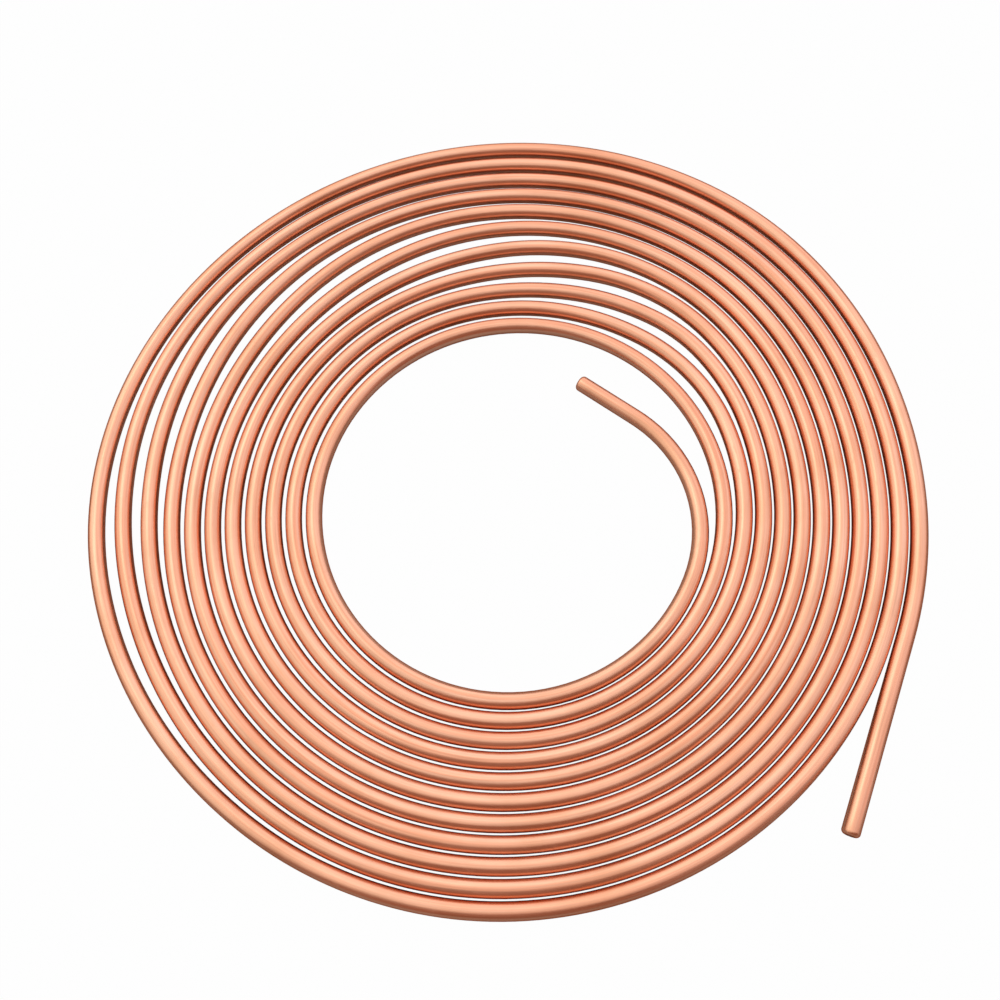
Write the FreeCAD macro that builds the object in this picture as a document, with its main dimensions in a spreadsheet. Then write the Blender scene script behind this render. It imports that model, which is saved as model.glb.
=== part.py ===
import FreeCAD, Part
import math
import os
from FreeCAD import Vector

# A flat coil of round copper wire, lying on its face: one length of soft wire wound in a single
# layer from the eye outwards, clockwise seen from above, with its two ends left free.
# Millimetres, +Z up. The floor is z = 0 and the coil's outline is centred on the origin.
#
# How the coil is laid out. Going outwards along the wire, its direction turns by one step at a
# time, and over each step it keeps one radius, so the whole centre line is tangent arcs. The arc
# at any place has the radius of the arc one turn further in, plus a wire and the gap there. The
# gap starts from close_gap. It is wider on one side of the coil (side_gap), and between
# each two turns it opens once more, where the loose coil has sprung apart (slack_gap). That
# opening lies a little further round for each turn.

os.makedirs("parts", exist_ok=True)
doc = FreeCAD.newDocument("copper_wire_coil")

# ---- driving dimensions: millimetres and degrees -------------------------------------------
DIMENSIONS = [
    ("wire_dia", 6.35, "diameter of the round wire"),
    ("eye_radius", 73.3, "radius of the wire's centre line where the innermost turn starts"),
    ("turn_count", 11, "full turns"),
    ("turn_start", -30.0, "direction of the place where the innermost turn starts"),
    ("close_gap", 0.6, "gap between neighbouring turns where they lie closest"),
    ("side_gap", 1.25, "what the gap gains on the loose side of the coil"),
    ("side_angle", 122.0, "direction of the loose side"),
    ("slack_gap", 2.8, "what the gap gains where it has sprung open"),
    ("slack_angle", 13.0, "direction of that opening, outside the innermost turn"),
    ("slack_walk", 18.6, "how much further round it lies from one turn to the next"),
    ("inner_bend_radius", 55.6, "bend where the inner end leaves the innermost turn"),
    ("inner_bend_angle", 75.8, "angle of that bend"),
    ("inner_tail", 27.0, "straight length at the inner end"),
    ("outer_tail", 73.0, "straight length at the outer end"),
    ("end_round", 1.5, "radius of the dressed edge round each end"),
]
sheet = doc.addObject("Spreadsheet::Sheet", "sizes")
for row, (alias, value, meaning) in enumerate(DIMENSIONS, start=1):
    sheet.set("A%d" % row, meaning)
    sheet.set("B%d" % row, str(value))
    sheet.setAlias("B%d" % row, alias)
doc.recompute()

wire_dia = float(sheet.wire_dia)
turn_count = int(sheet.turn_count)

ARCS_PER_TURN = 18
STEP = 2 * math.pi / ARCS_PER_TURN
SLACK_SHARPNESS = 32  # the opening fades as this power of a cosine: about 50 degrees wide


def outward(angle):
    """Unit vector from the coil's middle towards a direction, anticlockwise from +X."""
    return Vector(math.cos(angle), math.sin(angle), 0)


def along(angle):
    """Unit vector of clockwise travel where the coil's outside faces that direction."""
    return Vector(math.sin(angle), -math.cos(angle), 0)


def slack_offset(turn, angle):
    """Half the angle from the opening that walks round the coil, at a turn number."""
    place = math.radians(sheet.slack_angle + sheet.slack_walk * turn)
    return (angle - place) / 2


def gap(turn, angle):
    """Clear gap outside a turn (0 is the innermost; parts of a turn count) at a direction."""
    side = 0.5 + 0.5 * math.cos(angle - math.radians(sheet.side_angle))
    slack = math.cos(slack_offset(turn, angle)) ** SLACK_SHARPNESS
    return sheet.close_gap + sheet.side_gap * side + sheet.slack_gap * slack


def radius_gain(turn, angle):
    """What an arc's radius gains over the arc one turn in: a wire, the gap and the gap's bending.

    Where turns at distance h from the middle are parallel, the radius of curvature is h plus
    the second derivative of h. The side gap only shifts the turns, so it bends nothing.
    """
    half = slack_offset(turn, angle)
    power = SLACK_SHARPNESS
    fade = math.cos(half) ** power
    bending = power / 4 * (
        (power - 1) * math.cos(half) ** (power - 2) * math.sin(half) ** 2 - fade
    )
    passing = 1 + sheet.slack_walk / 360  # the opening comes to meet the wire this much faster
    even = wire_dia + sheet.close_gap + sheet.side_gap / 2
    return even + sheet.slack_gap * (fade + bending * passing ** 2)


def turn_radii(start_angle):
    """Radii of all the arcs of the turns, from the eye outwards."""
    # Over the innermost turn the radius grows evenly, to meet the second turn one wire and
    # one gap further out. A little more on one side makes it arrive there at the gap's slope.
    nudge = 1e-4
    ahead = gap(nudge / (2 * math.pi), start_angle - nudge)
    behind = gap(-nudge / (2 * math.pi), start_angle + nudge)
    slope = (ahead - behind) / (2 * nudge)
    growth = wire_dia + gap(0, start_angle)
    side = slope / (ARCS_PER_TURN * math.sin(STEP / 2))
    radii = []
    for number in range(turn_count * ARCS_PER_TURN):
        turn = (number + 0.5) / ARCS_PER_TURN
        angle = start_angle - STEP * (number + 0.5)
        if number < ARCS_PER_TURN:
            lean = side * math.cos(angle - start_angle)
            radii.append(sheet.eye_radius + growth * turn + lean)
        else:
            inner = radii[number - ARCS_PER_TURN]
            radii.append(inner + radius_gain(turn - 1, angle))
    return radii


def arc_edge(begin, angle, radius, sweep):
    """A clockwise arc from a point whose outside faces an angle: the edge, and where it ends."""
    centre = begin - outward(angle) * radius
    middle = centre + outward(angle - sweep / 2) * radius
    end = centre + outward(angle - sweep) * radius
    return Part.Arc(begin, middle, end).toShape(), end


def centre_line():
    """The wire's centre line from the inner tip to the outer tip, as edges, and its radii."""
    start_angle = math.radians(sheet.turn_start)
    inner_bend = math.radians(sheet.inner_bend_angle)
    radii = turn_radii(start_angle)

    tail_angle = start_angle + inner_bend
    tip = Vector(0, 0, wire_dia / 2)
    point = tip + along(tail_angle) * sheet.inner_tail
    edges = [Part.LineSegment(tip, point).toShape()]
    bend, point = arc_edge(point, tail_angle, sheet.inner_bend_radius, inner_bend)
    edges.append(bend)
    angle = start_angle
    for radius in radii:
        edge, point = arc_edge(point, angle, radius, STEP)
        edges.append(edge)
        angle -= STEP
    edges.append(Part.LineSegment(point, point + along(angle) * sheet.outer_tail).toShape())
    return edges, [sheet.inner_bend_radius] + radii


edges, radii = centre_line()
line = Part.Wire(edges)
box = line.optimalBoundingBox(False, False)
path = doc.addObject("Part::Feature", "centre_line")
path.Shape = line
path.Placement.Base = Vector(-box.Center.x, -box.Center.y, 0)

# ---- the wire's round section, square to the centre line at its inner tip ------------------
first = path.Shape.Edges[0]
tip = first.valueAt(first.FirstParameter)
heading = first.tangentAt(first.FirstParameter)
section = doc.addObject("Part::Circle", "section")
section.setExpression("Radius", "sizes.wire_dia / 2")
section.Placement = FreeCAD.Placement(tip, FreeCAD.Rotation(Vector(0, 0, 1), heading))

# ---- the wire: the section carried along the centre line -----------------------------------
drawn = doc.addObject("Part::Sweep", "drawn_wire")
drawn.Sections = [section]
drawn.Spine = (path, ["Edge%d" % (number + 1) for number in range(len(edges))])
drawn.Solid = True
drawn.Frenet = False
doc.recompute()

# ---- the two cut ends, with their edges dressed round ---------------------------------------
end_edges = []
for number, edge in enumerate(drawn.Shape.Edges, start=1):
    cut_faces = [
        face
        for face in drawn.Shape.ancestorsOfType(edge, Part.Face)
        if face.Surface.isPlanar()
    ]
    if cut_faces and edge.isClosed():
        end_edges.append((number, float(sheet.end_round), float(sheet.end_round)))
wire = doc.addObject("Part::Fillet", "copper_wire")
wire.Base = drawn
wire.Edges = end_edges
wire.Label = "copper_wire"
doc.recompute()

# ---- checks before writing ------------------------------------------------------------------
for item in doc.Objects:
    if "Invalid" in item.State or "Error" in item.State:
        raise RuntimeError("%s did not recompute: %s" % (item.Name, item.State))
for item in (path, section, drawn, wire):
    if item.Shape.isNull() or not item.Shape.isValid():
        raise RuntimeError("%s has no valid shape" % item.Name)
if len(wire.Shape.Solids) != 1 or len(end_edges) != 2:
    raise RuntimeError("the wire is not one solid with two dressed ends")

section_area = math.pi * wire_dia ** 2 / 4
print("developed length %.1f mm" % line.Length)
print("volume %.1f, section x length %.1f" % (wire.Shape.Volume, section_area * line.Length))
print("bend radii %.1f to %.1f, wire radius %.3f" % (min(radii), max(radii), wire_dia / 2))
print("outline", wire.Shape.optimalBoundingBox(False, False))

wire.Shape.exportStep(os.path.join("parts", wire.Label + ".step"))
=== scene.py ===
import math

import bpy
import numpy as np
from mathutils import Euler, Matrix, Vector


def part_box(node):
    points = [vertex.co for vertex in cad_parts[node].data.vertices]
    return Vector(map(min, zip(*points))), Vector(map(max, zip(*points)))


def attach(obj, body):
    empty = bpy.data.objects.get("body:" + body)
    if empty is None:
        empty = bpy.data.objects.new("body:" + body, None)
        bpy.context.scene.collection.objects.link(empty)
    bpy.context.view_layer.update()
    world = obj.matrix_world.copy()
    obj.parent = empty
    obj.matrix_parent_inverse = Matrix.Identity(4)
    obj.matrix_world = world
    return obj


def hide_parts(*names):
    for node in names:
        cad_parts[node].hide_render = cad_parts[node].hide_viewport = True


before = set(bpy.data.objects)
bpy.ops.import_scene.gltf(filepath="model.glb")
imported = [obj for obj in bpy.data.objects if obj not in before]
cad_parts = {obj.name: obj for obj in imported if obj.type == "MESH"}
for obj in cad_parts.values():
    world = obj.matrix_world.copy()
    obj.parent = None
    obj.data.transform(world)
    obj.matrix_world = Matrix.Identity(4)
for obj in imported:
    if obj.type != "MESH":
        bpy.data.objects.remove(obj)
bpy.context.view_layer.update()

MM = 0.001

# ---- the wire's own sizes, in metres and degrees ---------------------------------------------
# The outline and the wire's thickness come from the frame. The rest is how the coil is wound.
low, high = (np.array(corner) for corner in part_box("copper_wire"))
WIRE_DIA = float(high[2] - low[2])
WIRE_RADIUS = WIRE_DIA / 2
COIL_MIDDLE = (low + high) / 2

TURNS = 11
ARCS_PER_TURN = 18
TURN_START = math.radians(-30.0)
EYE_RADIUS = 73.3 * MM
CLOSE_GAP = 0.6 * MM
SIDE_GAP = 1.25 * MM
SIDE_ANGLE = math.radians(122.0)
SLACK_GAP = 2.8 * MM
SLACK_ANGLE = math.radians(13.0)
SLACK_WALK = math.radians(18.6)
SLACK_SHARPNESS = 32
INNER_BEND_RADIUS = 55.6 * MM
INNER_BEND = math.radians(75.8)
INNER_TAIL = 27.0 * MM
OUTER_TAIL = 73.0 * MM
END_ROUND = 1.5 * MM

RING_SPACING = 4.0 * MM      # along the wire, between two rings of the mesh
RING_SIDES = 36
END_RINGS = 7                # rings over each dressed edge

# ---- finish, light and camera ------------------------------------------------------------------
COPPER = (0.83, 0.42, 0.275)         # linear colours
COPPER_DEEP = (0.77, 0.335, 0.205)
COPPER_PALE = (0.87, 0.485, 0.335)
COPPER_EDGE = (0.72, 0.20, 0.10)     # at a glancing angle
# painted shade: the flat cut faces at the two ends get this dark colour in place of their shade
TARNISHED = (0.76, 0.345, 0.19, 1)
CUT_FACE_SHADE = (0.34, 0.19, 0.13, 1)
SEEN_WHITE = 0.985       # share of white glow in the floor the camera sees
MIRRORED_WHITE = 0.05    # the same, in the floor mirrored by the metal
FLOOR_GREY = (0.34, 0.34, 0.34, 1)
TENT_WEST = (1.12, 1.13, 1.04, 1)
TENT_EAST = (1.12, 1.09, 1.15, 1)
ROOM_WARM = (0.34, 0.18, 0.13, 1)
FAR_SIDE_GAIN = 1.3       # how much brighter the tent is on its far, northern side
TENT_NEAR_EDGE = (-0.60, -0.30)     # northward part of the direction where the tent ends
TENT_LOW_EDGE = (0.02, 0.30)        # upward part of the direction where it ends
CAMERA_PLACE = (-0.0009, -0.1468, 0.3530)
CAMERA_DOWN = math.radians(68.7)    # how steeply it looks down
CAMERA_ROLL = math.radians(-7.86)
CAMERA_LENS = 35.14                 # millimetres, on a 36 mm wide frame
FLOOR_HALF = 3.0

# ---- the wire's shape --------------------------------------------------------------------------


def facing(angle):
    """Unit vectors in the floor plane towards angles, anticlockwise from +X."""
    return np.stack([np.cos(angle), np.sin(angle)], axis=-1)


def travel(angle):
    """Unit vectors of clockwise travel where the outside of the coil faces these angles."""
    return np.stack([np.sin(angle), -np.cos(angle)], axis=-1)


def arc_radii():
    """Radii of the tangent arcs of all the turns, from the eye outwards.

    Each arc has the radius of the arc one turn further in, plus a wire and the even part of
    the gap, plus the opening's height times (fade + its second derivative along the wire),
    where fade is a high power of the cosine of half the angle from the opening. Over the
    innermost turn the radius grows evenly by one wire and one gap, with a lean to one side
    that brings it to the second turn at the slope of the gap.
    """
    step = 2 * math.pi / ARCS_PER_TURN
    power = SLACK_SHARPNESS
    walk = SLACK_WALK / (2 * math.pi)

    def fade(turn, angle):
        return np.cos((angle - SLACK_ANGLE - SLACK_WALK * turn) / 2) ** power

    def gap(turn, angle):
        side = 0.5 + 0.5 * math.cos(angle - SIDE_ANGLE)
        return CLOSE_GAP + SIDE_GAP * side + SLACK_GAP * fade(turn, angle)

    number = np.arange(TURNS * ARCS_PER_TURN) + 0.5
    turn = number / ARCS_PER_TURN
    angle = TURN_START - step * number

    half = (angle - SLACK_ANGLE - SLACK_WALK * (turn - 1)) / 2
    faded = np.cos(half) ** power
    steep = (power - 1) * np.cos(half) ** (power - 2) * np.sin(half) ** 2
    bending = power / 4 * (steep - faded) * (1 + walk) ** 2
    gains = WIRE_DIA + CLOSE_GAP + SIDE_GAP / 2 + SLACK_GAP * (faded + bending)

    nudge = 1e-4
    ahead = gap(nudge / (2 * math.pi), TURN_START - nudge)
    behind = gap(-nudge / (2 * math.pi), TURN_START + nudge)
    lean = (ahead - behind) / (2 * nudge) / (ARCS_PER_TURN * math.sin(step / 2))
    growth = WIRE_DIA + gap(0, TURN_START)
    inner = slice(0, ARCS_PER_TURN)
    gains[inner] = EYE_RADIUS + growth * turn[inner] + lean * np.cos(angle[inner] - TURN_START)
    return np.cumsum(gains.reshape(TURNS, ARCS_PER_TURN), axis=0).ravel()


def wire_line():
    """The wire's centre line from the inner tip to the outer tip.

    A chain of pieces, each a straight (no radius) or a clockwise arc that starts where the
    last one ends and in its direction. Returns for each ring its place, its direction of
    travel and its length along the wire. On an arc, place = start + radius x (outward at the
    angle reached - outward at the start). On a straight, place = start + length x travel.
    """
    step = 2 * math.pi / ARCS_PER_TURN
    radii = np.concatenate([[0], [INNER_BEND_RADIUS], arc_radii(), [0]])
    turned = np.concatenate([[0], [INNER_BEND], np.full(TURNS * ARCS_PER_TURN, step), [0]])
    straight = np.zeros(len(radii))
    straight[0] = INNER_TAIL
    straight[-1] = OUTER_TAIL
    begin_angle = TURN_START + INNER_BEND - np.concatenate([[0], np.cumsum(turned)[:-1]])
    end_angle = begin_angle - turned
    moves = (
        radii[:, None] * (facing(end_angle) - facing(begin_angle))
        + straight[:, None] * travel(begin_angle)
    )
    starts = np.concatenate([[[0, 0]], np.cumsum(moves, axis=0)[:-1]])
    lengths = radii * turned + straight
    before = np.concatenate([[0], np.cumsum(lengths)[:-1]])

    total = lengths.sum()
    rings = int(round((total - 2 * END_ROUND) / RING_SPACING)) + 1
    at = np.linspace(END_ROUND, total - END_ROUND, rings)
    piece = np.clip(np.searchsorted(before, at, side="right") - 1, 0, len(lengths) - 1)
    part = (at - before[piece]) / lengths[piece]
    angle = begin_angle[piece] - turned[piece] * part
    place = (
        starts[piece]
        + radii[piece, None] * (facing(angle) - facing(begin_angle[piece]))
        + (straight[piece] * part)[:, None] * travel(begin_angle[piece])
    )
    return place, travel(angle), at


def wire_surface():
    """The wire's skin as rings of points: the round section carried along the centre line.

    A ring's points are place + radius x (cos t x across + sin t x up). Over each dressed end
    the ring runs on past the last place by END_ROUND x sin a while its radius falls by
    END_ROUND x (1 - cos a), a quarter circle, and the flat cut face inside it closes with
    three smaller rings, the last of them nearly a point.
    """
    place, along, at = wire_line()
    quarter = np.linspace(0, math.pi / 2, END_RINGS + 1)[1:]
    run_on = np.concatenate([END_ROUND * np.sin(quarter), [END_ROUND] * 3])
    edge = WIRE_RADIUS - END_ROUND * (1 - np.cos(quarter))
    flat = WIRE_RADIUS - END_ROUND
    shrink = np.concatenate([edge, [0.66 * flat, 0.33 * flat, 0.02 * flat]])

    def end(index, sign):
        places = place[index] + sign * run_on[:, None] * along[index]
        ways = np.repeat(along[index][None], len(run_on), axis=0)
        return places, ways, at[index] + sign * run_on

    first_place, first_way, first_at = end(0, -1)
    last_place, last_way, last_at = end(-1, 1)
    place = np.concatenate([first_place[::-1], place, last_place])
    along = np.concatenate([first_way[::-1], along, last_way])
    at = np.concatenate([first_at[::-1], at, last_at])
    body = len(place) - 2 * len(shrink)
    radius = np.concatenate([shrink[::-1], np.full(body, WIRE_RADIUS), shrink])
    from_body = np.arange(len(shrink)) + 1
    cut = np.concatenate([from_body[::-1], np.zeros(body), from_body])
    on_cut_face = (cut >= END_RINGS).astype(float)

    round_angle = np.arange(RING_SIDES) / RING_SIDES * 2 * math.pi
    across = np.stack([-along[:, 1], along[:, 0]], axis=-1)
    points = np.zeros((len(place), RING_SIDES, 3))
    points[:, :, :2] = (
        place[:, None, :]
        + (radius[:, None] * np.cos(round_angle))[:, :, None] * across[:, None, :]
    )
    points[:, :, 2] = radius[:, None] * np.sin(round_angle) + WIRE_RADIUS
    return points, at, on_cut_face


def place_on_frame(points):
    """Moves the points so that the middle of their outline is the middle of the CAD box."""
    flat = points.reshape(-1, 3)
    middle = (flat.min(axis=0) + flat.max(axis=0)) / 2
    return points - middle + COIL_MIDDLE


def tube_mesh(name, points, at, on_cut_face):
    """A closed tube mesh from a grid of ring points, with its length and turn kept as a UV map.

    Quads join each ring's neighbours; one polygon closes each end. U runs round the wire and
    V along it, in metres; the attribute cut_face is 1 on the flat faces at the two ends.
    """
    rings, sides = points.shape[:2]
    index = np.arange(rings * sides).reshape(rings, sides)
    here, ahead = index[:-1], index[1:]
    quads = np.stack(
        [here, ahead, np.roll(ahead, -1, axis=1), np.roll(here, -1, axis=1)], axis=-1
    ).reshape(-1, 4)
    caps = np.stack([index[0], index[-1][::-1]])
    corners = np.concatenate([quads.ravel(), caps.ravel()])
    sizes = np.concatenate([np.full(len(quads), 4), np.full(2, sides)])

    mesh = bpy.data.meshes.new(name)
    mesh.vertices.add(rings * sides)
    mesh.vertices.foreach_set("co", points.ravel())
    mesh.loops.add(len(corners))
    mesh.loops.foreach_set("vertex_index", corners.astype(np.int32))
    mesh.polygons.add(len(sizes))
    starts = np.concatenate([[0], np.cumsum(sizes)[:-1]])
    mesh.polygons.foreach_set("loop_start", starts.astype(np.int32))
    mesh.polygons.foreach_set("use_smooth", np.ones(len(sizes), dtype=bool))

    ring, side = np.divmod(np.arange(rings * sides), sides)
    around = side / sides * 2 * math.pi * WIRE_RADIUS
    uv = np.stack([around[corners], at[ring[corners]]], axis=-1)
    quad_uv = uv[: quads.size].reshape(-1, 4, 2)
    first_side = quads % sides == 0
    last_quad = (quads[:, :1] % sides) == sides - 1
    full_round = 2 * math.pi * WIRE_RADIUS
    quad_uv[..., 0] = np.where(first_side & last_quad, full_round, quad_uv[..., 0])
    layer = mesh.uv_layers.new(name="along_wire")
    layer.data.foreach_set("uv", uv.astype(np.float32).ravel())

    attribute = mesh.attributes.new("cut_face", "FLOAT", "POINT")
    attribute.data.foreach_set("value", np.repeat(on_cut_face, sides).astype(np.float32))
    mesh.update(calc_edges=True)
    mesh.validate()
    return mesh


# ---- materials ---------------------------------------------------------------------------------
class Nodes:
    """A small helper to write a node tree line by line."""

    def __init__(self, material):
        material.use_nodes = True
        self.tree = material.node_tree
        self.tree.nodes.clear()

    def add(self, kind, inputs=None, **settings):
        node = self.tree.nodes.new(kind)
        for key, value in settings.items():
            setattr(node, key, value)
        for key, value in (inputs or {}).items():
            if isinstance(value, bpy.types.NodeSocket):
                self.tree.links.new(value, node.inputs[key])
            else:
                node.inputs[key].default_value = value
        return node


def drawn_copper():
    """Bare drawn copper: satin metal with drawing lines along the wire and a faint tarnish.

    The drawing lines are two noises in the wire's own UV map, metres round and along, both
    stretched some fifty times along the wire: broad bands shift the colour between a deeper
    and a paler copper and the roughness with it, fine lines change its lightness and raise a
    slight relief. Slow noise in object space lays a warmer, duller tarnish in patches, and
    small marks break the gloss where turns have rubbed. The cut faces are rough, and their
    darker colour is painted shade.
    """
    material = bpy.data.materials.new("bare_copper")
    n = Nodes(material)
    uv = n.add("ShaderNodeUVMap", uv_map="along_wire").outputs["UV"]
    place = n.add("ShaderNodeTexCoord").outputs["Object"]

    def noise(vector, scale, detail, roughness=0.5):
        return n.add("ShaderNodeTexNoise", {
            "Vector": vector, "Scale": scale, "Detail": detail,
            "Roughness": roughness}).outputs["Fac"]

    def stretched(per_metre_round, per_metre_along):
        return n.add("ShaderNodeMapping", {
            "Vector": uv, "Scale": (per_metre_round, per_metre_along, 1)}).outputs["Vector"]

    def ranged(value, low, high, first, last):
        return n.add("ShaderNodeMapRange", {
            "Value": value, "From Min": low, "From Max": high,
            "To Min": first, "To Max": last}).outputs["Result"]

    def times(one, other):
        return n.add("ShaderNodeMath", {0: one, 1: other}, operation="MULTIPLY").outputs["Value"]

    def mixed(share, one, other):
        return n.add("ShaderNodeMix", {
            "Factor": share, "A": one, "B": other}, data_type="RGBA").outputs[2]

    bands = noise(stretched(520, 7), 1.0, 2.0)
    lines = noise(stretched(1500, 26), 1.0, 3.0, 0.65)
    tarnish = noise(place, 26.0, 4.0, 0.6)
    marks = noise(stretched(420, 160), 1.0, 2.0, 0.6)

    tone = n.add("ShaderNodeValToRGB", {"Fac": bands})
    tone.color_ramp.elements[0].position = 0.32
    tone.color_ramp.elements[0].color = COPPER_DEEP + (1,)
    tone.color_ramp.elements[1].position = 0.70
    tone.color_ramp.elements[1].color = COPPER_PALE + (1,)
    tone.color_ramp.elements.new(0.5).color = COPPER + (1,)
    toned = mixed(ranged(tarnish, 0.48, 0.72, 0.0, 0.5), tone.outputs["Color"], TARNISHED)
    light = times(ranged(lines, 0.3, 0.7, 0.84, 1.08), ranged(tarnish, 0.3, 0.7, 1.03, 0.95))
    colour = n.add("ShaderNodeVectorMath", {
        0: toned, "Scale": light}, operation="SCALE").outputs["Vector"]
    cut = n.add("ShaderNodeAttribute", attribute_name="cut_face").outputs["Fac"]
    # painted shade: the cut faces are mixed to a dark colour that stands in for their shade
    base = mixed(cut, colour, CUT_FACE_SHADE)

    rubbed = ranged(marks, 0.62, 0.74, 0.0, 0.10)
    satin = n.add("ShaderNodeMath", {
        0: ranged(bands, 0.3, 0.7, 0.28, 0.38), 1: rubbed}, operation="ADD").outputs["Value"]
    rough = n.add("ShaderNodeMath", {
        0: satin, 1: times(cut, 0.15)}, operation="ADD").outputs["Value"]
    bump = n.add("ShaderNodeBump", {"Height": lines, "Strength": 0.6, "Distance": 0.00003})

    shader = n.add("ShaderNodeBsdfPrincipled", {
        "Base Color": base,
        "Metallic": 1.0,
        "Specular Tint": COPPER_EDGE + (1,),
        "Roughness": rough,
        "Normal": bump.outputs["Normal"],
    })
    out = n.add("ShaderNodeOutputMaterial")
    n.tree.links.new(shader.outputs["BSDF"], out.inputs["Surface"])
    return material


def pale_floor():
    """A plain pale floor that shows as nearly white and keeps a faint shadow.

    The camera sees mostly a white glow with some of the lit floor in it. Mirrored in the
    metal the same floor shows at a part of that glow, over a plain darker grey.
    """
    material = bpy.data.materials.new("pale_floor")
    n = Nodes(material)
    path = n.add("ShaderNodeLightPath")
    straight = n.add("ShaderNodeMath", {
        0: path.outputs["Is Camera Ray"], 1: path.outputs["Is Transmission Ray"]},
        operation="MAXIMUM").outputs["Value"]
    white = n.add("ShaderNodeMath", {0: straight, 1: SEEN_WHITE}, operation="MULTIPLY")
    mirrored = n.add("ShaderNodeMath", {
        0: path.outputs["Is Glossy Ray"], 1: MIRRORED_WHITE}, operation="MULTIPLY")
    share = n.add("ShaderNodeMath", {
        0: white.outputs["Value"], 1: mirrored.outputs["Value"]}, operation="MAXIMUM")
    diffuse = n.add("ShaderNodeBsdfDiffuse", {"Color": FLOOR_GREY}).outputs["BSDF"]
    glow = n.add("ShaderNodeEmission", {
        "Color": (1, 1, 1, 1), "Strength": 1.0}).outputs["Emission"]
    mixed = n.add("ShaderNodeMixShader", {0: share.outputs["Value"], 1: diffuse, 2: glow})
    out = n.add("ShaderNodeOutputMaterial")
    n.tree.links.new(mixed.outputs["Shader"], out.inputs["Surface"])
    return material


# ---- the coil ----------------------------------------------------------------------------------
points, at, on_cut_face = wire_surface()
points = place_on_frame(points)
coil = bpy.data.objects.new("drawn_wire", tube_mesh("drawn_wire", points, at, on_cut_face))
bpy.context.scene.collection.objects.link(coil)
coil.data.materials.append(drawn_copper())
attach(coil, "root")
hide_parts("copper_wire")

# ---- floor, light and camera -------------------------------------------------------------------
floor_mesh = bpy.data.meshes.new("floor")
floor_mesh.from_pydata(
    [(-FLOOR_HALF, -FLOOR_HALF, 0), (FLOOR_HALF, -FLOOR_HALF, 0),
     (FLOOR_HALF, FLOOR_HALF, 0), (-FLOOR_HALF, FLOOR_HALF, 0)],
    [], [(0, 1, 2, 3)])
floor = bpy.data.objects.new("floor", floor_mesh)
bpy.context.scene.collection.objects.link(floor)
floor.data.materials.append(pale_floor())


def lamp(name, place, size, power, aim=(0, 0, 0), colour=(1, 1, 1)):
    """A soft square lamp that faces a point."""
    light = bpy.data.lights.new(name, "AREA")
    light.shape = "SQUARE"
    light.size = size
    light.energy = power
    light.color = colour
    thing = bpy.data.objects.new(name, light)
    thing.location = place
    way = np.array(aim, dtype=float) - np.array(place, dtype=float)
    flat = math.hypot(way[0], way[1])
    thing.rotation_euler = Euler(
        (math.atan2(flat, -way[2]), 0, math.atan2(way[1], way[0]) - math.pi / 2))
    bpy.context.scene.collection.objects.link(thing)
    return thing


lamp("line_light", (-0.35, 0.45, 0.9), 0.45, 0.7)


def studio_sky():
    """A soft white tent over the coil, open to a dim warm room low down and on the near side.

    The tent's share is a smooth step of the direction's northward part times a smooth step of
    its upward part. Across the tent the white goes from slightly warm in the west to slightly
    cool in the east. The camera itself sees plain white there.
    """
    world = bpy.data.worlds.new("studio")
    bpy.context.scene.world = world
    world.use_nodes = True
    n = Nodes(world)
    direction = n.add("ShaderNodeTexCoord").outputs["Generated"]
    parts = n.add("ShaderNodeSeparateXYZ", {"Vector": direction})

    def step(part, edge):
        return n.add("ShaderNodeMapRange", {
            "Value": parts.outputs[part], "From Min": edge[0], "From Max": edge[1],
            "To Min": 0.0, "To Max": 1.0}, interpolation_type="SMOOTHSTEP").outputs["Result"]

    share = n.add("ShaderNodeMath", {
        0: step("Y", TENT_NEAR_EDGE), 1: step("Z", TENT_LOW_EDGE)}, operation="MULTIPLY")
    white = n.add("ShaderNodeMix", {
        "Factor": step("X", (-0.8, 0.8)), "A": TENT_WEST, "B": TENT_EAST}, data_type="RGBA")
    colour = n.add("ShaderNodeMix", {
        "Factor": share.outputs["Value"], "A": ROOM_WARM, "B": white.outputs[2]},
        data_type="RGBA")
    lifted = n.add("ShaderNodeMapRange", {
        "Value": parts.outputs["Y"], "From Min": -0.1, "From Max": 0.8,
        "To Min": 1.0, "To Max": FAR_SIDE_GAIN})
    tent = n.add("ShaderNodeVectorMath", {
        0: colour.outputs[2], "Scale": lifted.outputs["Result"]}, operation="SCALE")
    path = n.add("ShaderNodeLightPath")
    seen = n.add("ShaderNodeMix", {
        "Factor": path.outputs["Is Camera Ray"], "A": tent.outputs["Vector"], "B": (1, 1, 1, 1)},
        data_type="RGBA")
    glow = n.add("ShaderNodeBackground", {"Color": seen.outputs[2], "Strength": 1.0})
    out = n.add("ShaderNodeOutputWorld")
    n.tree.links.new(glow.outputs["Background"], out.inputs["Surface"])


studio_sky()

camera_data = bpy.data.cameras.new("camera")
camera_data.sensor_width = 36
camera_data.lens = CAMERA_LENS
camera_data.clip_start = 0.01
camera = bpy.data.objects.new("camera", camera_data)
tilt = Euler((math.pi / 2 - CAMERA_DOWN, 0, 0)).to_matrix()
roll = Euler((0, 0, CAMERA_ROLL)).to_matrix()
camera.rotation_euler = (tilt @ roll).to_euler()
camera.location = CAMERA_PLACE
bpy.context.scene.collection.objects.link(camera)
bpy.context.scene.camera = camera
bpy.context.scene.view_settings.view_transform = "Standard"
